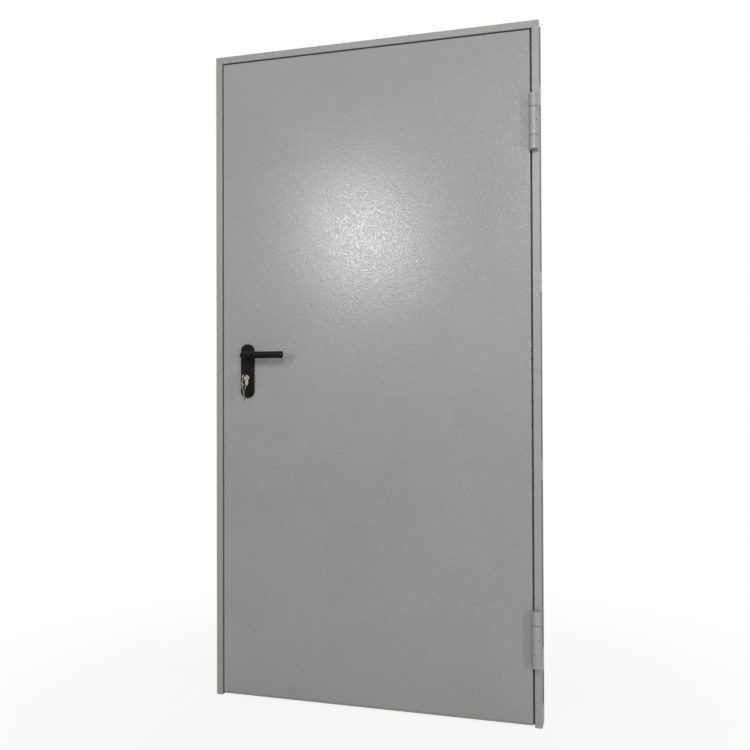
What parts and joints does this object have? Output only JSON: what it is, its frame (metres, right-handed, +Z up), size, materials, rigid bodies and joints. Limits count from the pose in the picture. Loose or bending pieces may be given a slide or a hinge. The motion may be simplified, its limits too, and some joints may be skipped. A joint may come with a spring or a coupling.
{
  "type": "fire door",
  "caption": "Single-leaf steel fire door flush in a three-sided pressed frame, with barrel hinges, lever handles on long plates, a profile cylinder and hanging keys.",
  "frame": {"origin": "floor level, middle of the frame's depth, on the wall side of the hinge jamb", "axes": "+X towards the wall beside the hinges, +Y from the pull side to the push side, +Z up"},
  "size_m": [1.05, 0.188, 2.09],
  "materials": {
    "frame_coat": "fine-textured powder coat",
    "leaf_coat": "fine-textured powder coat",
    "hinge_coat": "powder coat over machined steel",
    "bright_steel": "zinc-plated",
    "zinc_steel": "hot-dip galvanised",
    "gasket_rubber": "matt black",
    "fire_strip": "matt graphite grey",
    "mineral_board": "pressed mineral wool",
    "cylinder_brass": "satin pale brass",
    "black_nylon": "satin moulded nylon",
    "key_nickel": "nickel-plated"
  },
  "bodies": {
    "frame": {"lock_jamb": "frame_coat", "hinge_jamb": "frame_coat", "frame_head": "frame_coat", "strike_plate": "bright_steel", "strike_box": "zinc_steel", "lock_side_anchors": "frame_coat", "hinge_side_anchors": "frame_coat", "head_anchors": "frame_coat", "lock_side_gasket": "gasket_rubber", "hinge_side_gasket": "gasket_rubber", "head_gasket": "gasket_rubber", "lock_side_fire_strip": "fire_strip", "hinge_side_fire_strip": "fire_strip", "head_fire_strip": "fire_strip", "upper_hinge_frame_knuckles": "hinge_coat", "lower_hinge_frame_knuckles": "hinge_coat", "upper_hinge_pin": "bright_steel", "lower_hinge_pin": "bright_steel", "upper_hinge_bearing": "bright_steel", "lower_hinge_bearing": "bright_steel"},
    "leaf": {"leaf_front_tray": "leaf_coat", "leaf_rear_tray": "leaf_coat", "leaf_core": "mineral_board", "mortice_lock": "bright_steel", "latch_bolt": "bright_steel", "dead_bolt": "bright_steel", "lock_cylinder": "cylinder_brass", "front_plate": "black_nylon", "rear_plate": "black_nylon", "dog_bolts": "bright_steel", "upper_hinge_leaf_knuckle": "hinge_coat", "lower_hinge_leaf_knuckle": "hinge_coat", "inserted_key": "key_nickel"},
    "levers": {"front_lever": "black_nylon", "rear_lever": "black_nylon", "spindle": "bright_steel", "lock_follower": "bright_steel"},
    "keys": {"key_ring": "key_nickel", "spare_key": "key_nickel"}
  },
  "joints": [
    {"name": "leaf_swing", "type": "hinge", "parent": "frame", "child": "leaf", "pos_m": [-0.015, -0.047, 1.022], "axis": [0, 0, 1], "range_deg": [0, 175], "stiffness_Nm_per_rad": 5.5, "springref_deg": -17.19},
    {"name": "lever_turn", "type": "hinge", "parent": "leaf", "child": "levers", "pos_m": [-0.936, -0.003, 1.106], "axis": [0, 1, 0], "range_deg": [0, 40], "stiffness_Nm_per_rad": 1.6, "springref_deg": -28.65},
    {"name": "key_ring_swing", "type": "hinge", "parent": "leaf", "child": "keys", "pos_m": [-0.936, -0.064, 1.0272], "axis": [-0.9962, 0.0872, 0], "range_deg": [-6, 45]}
  ]
}
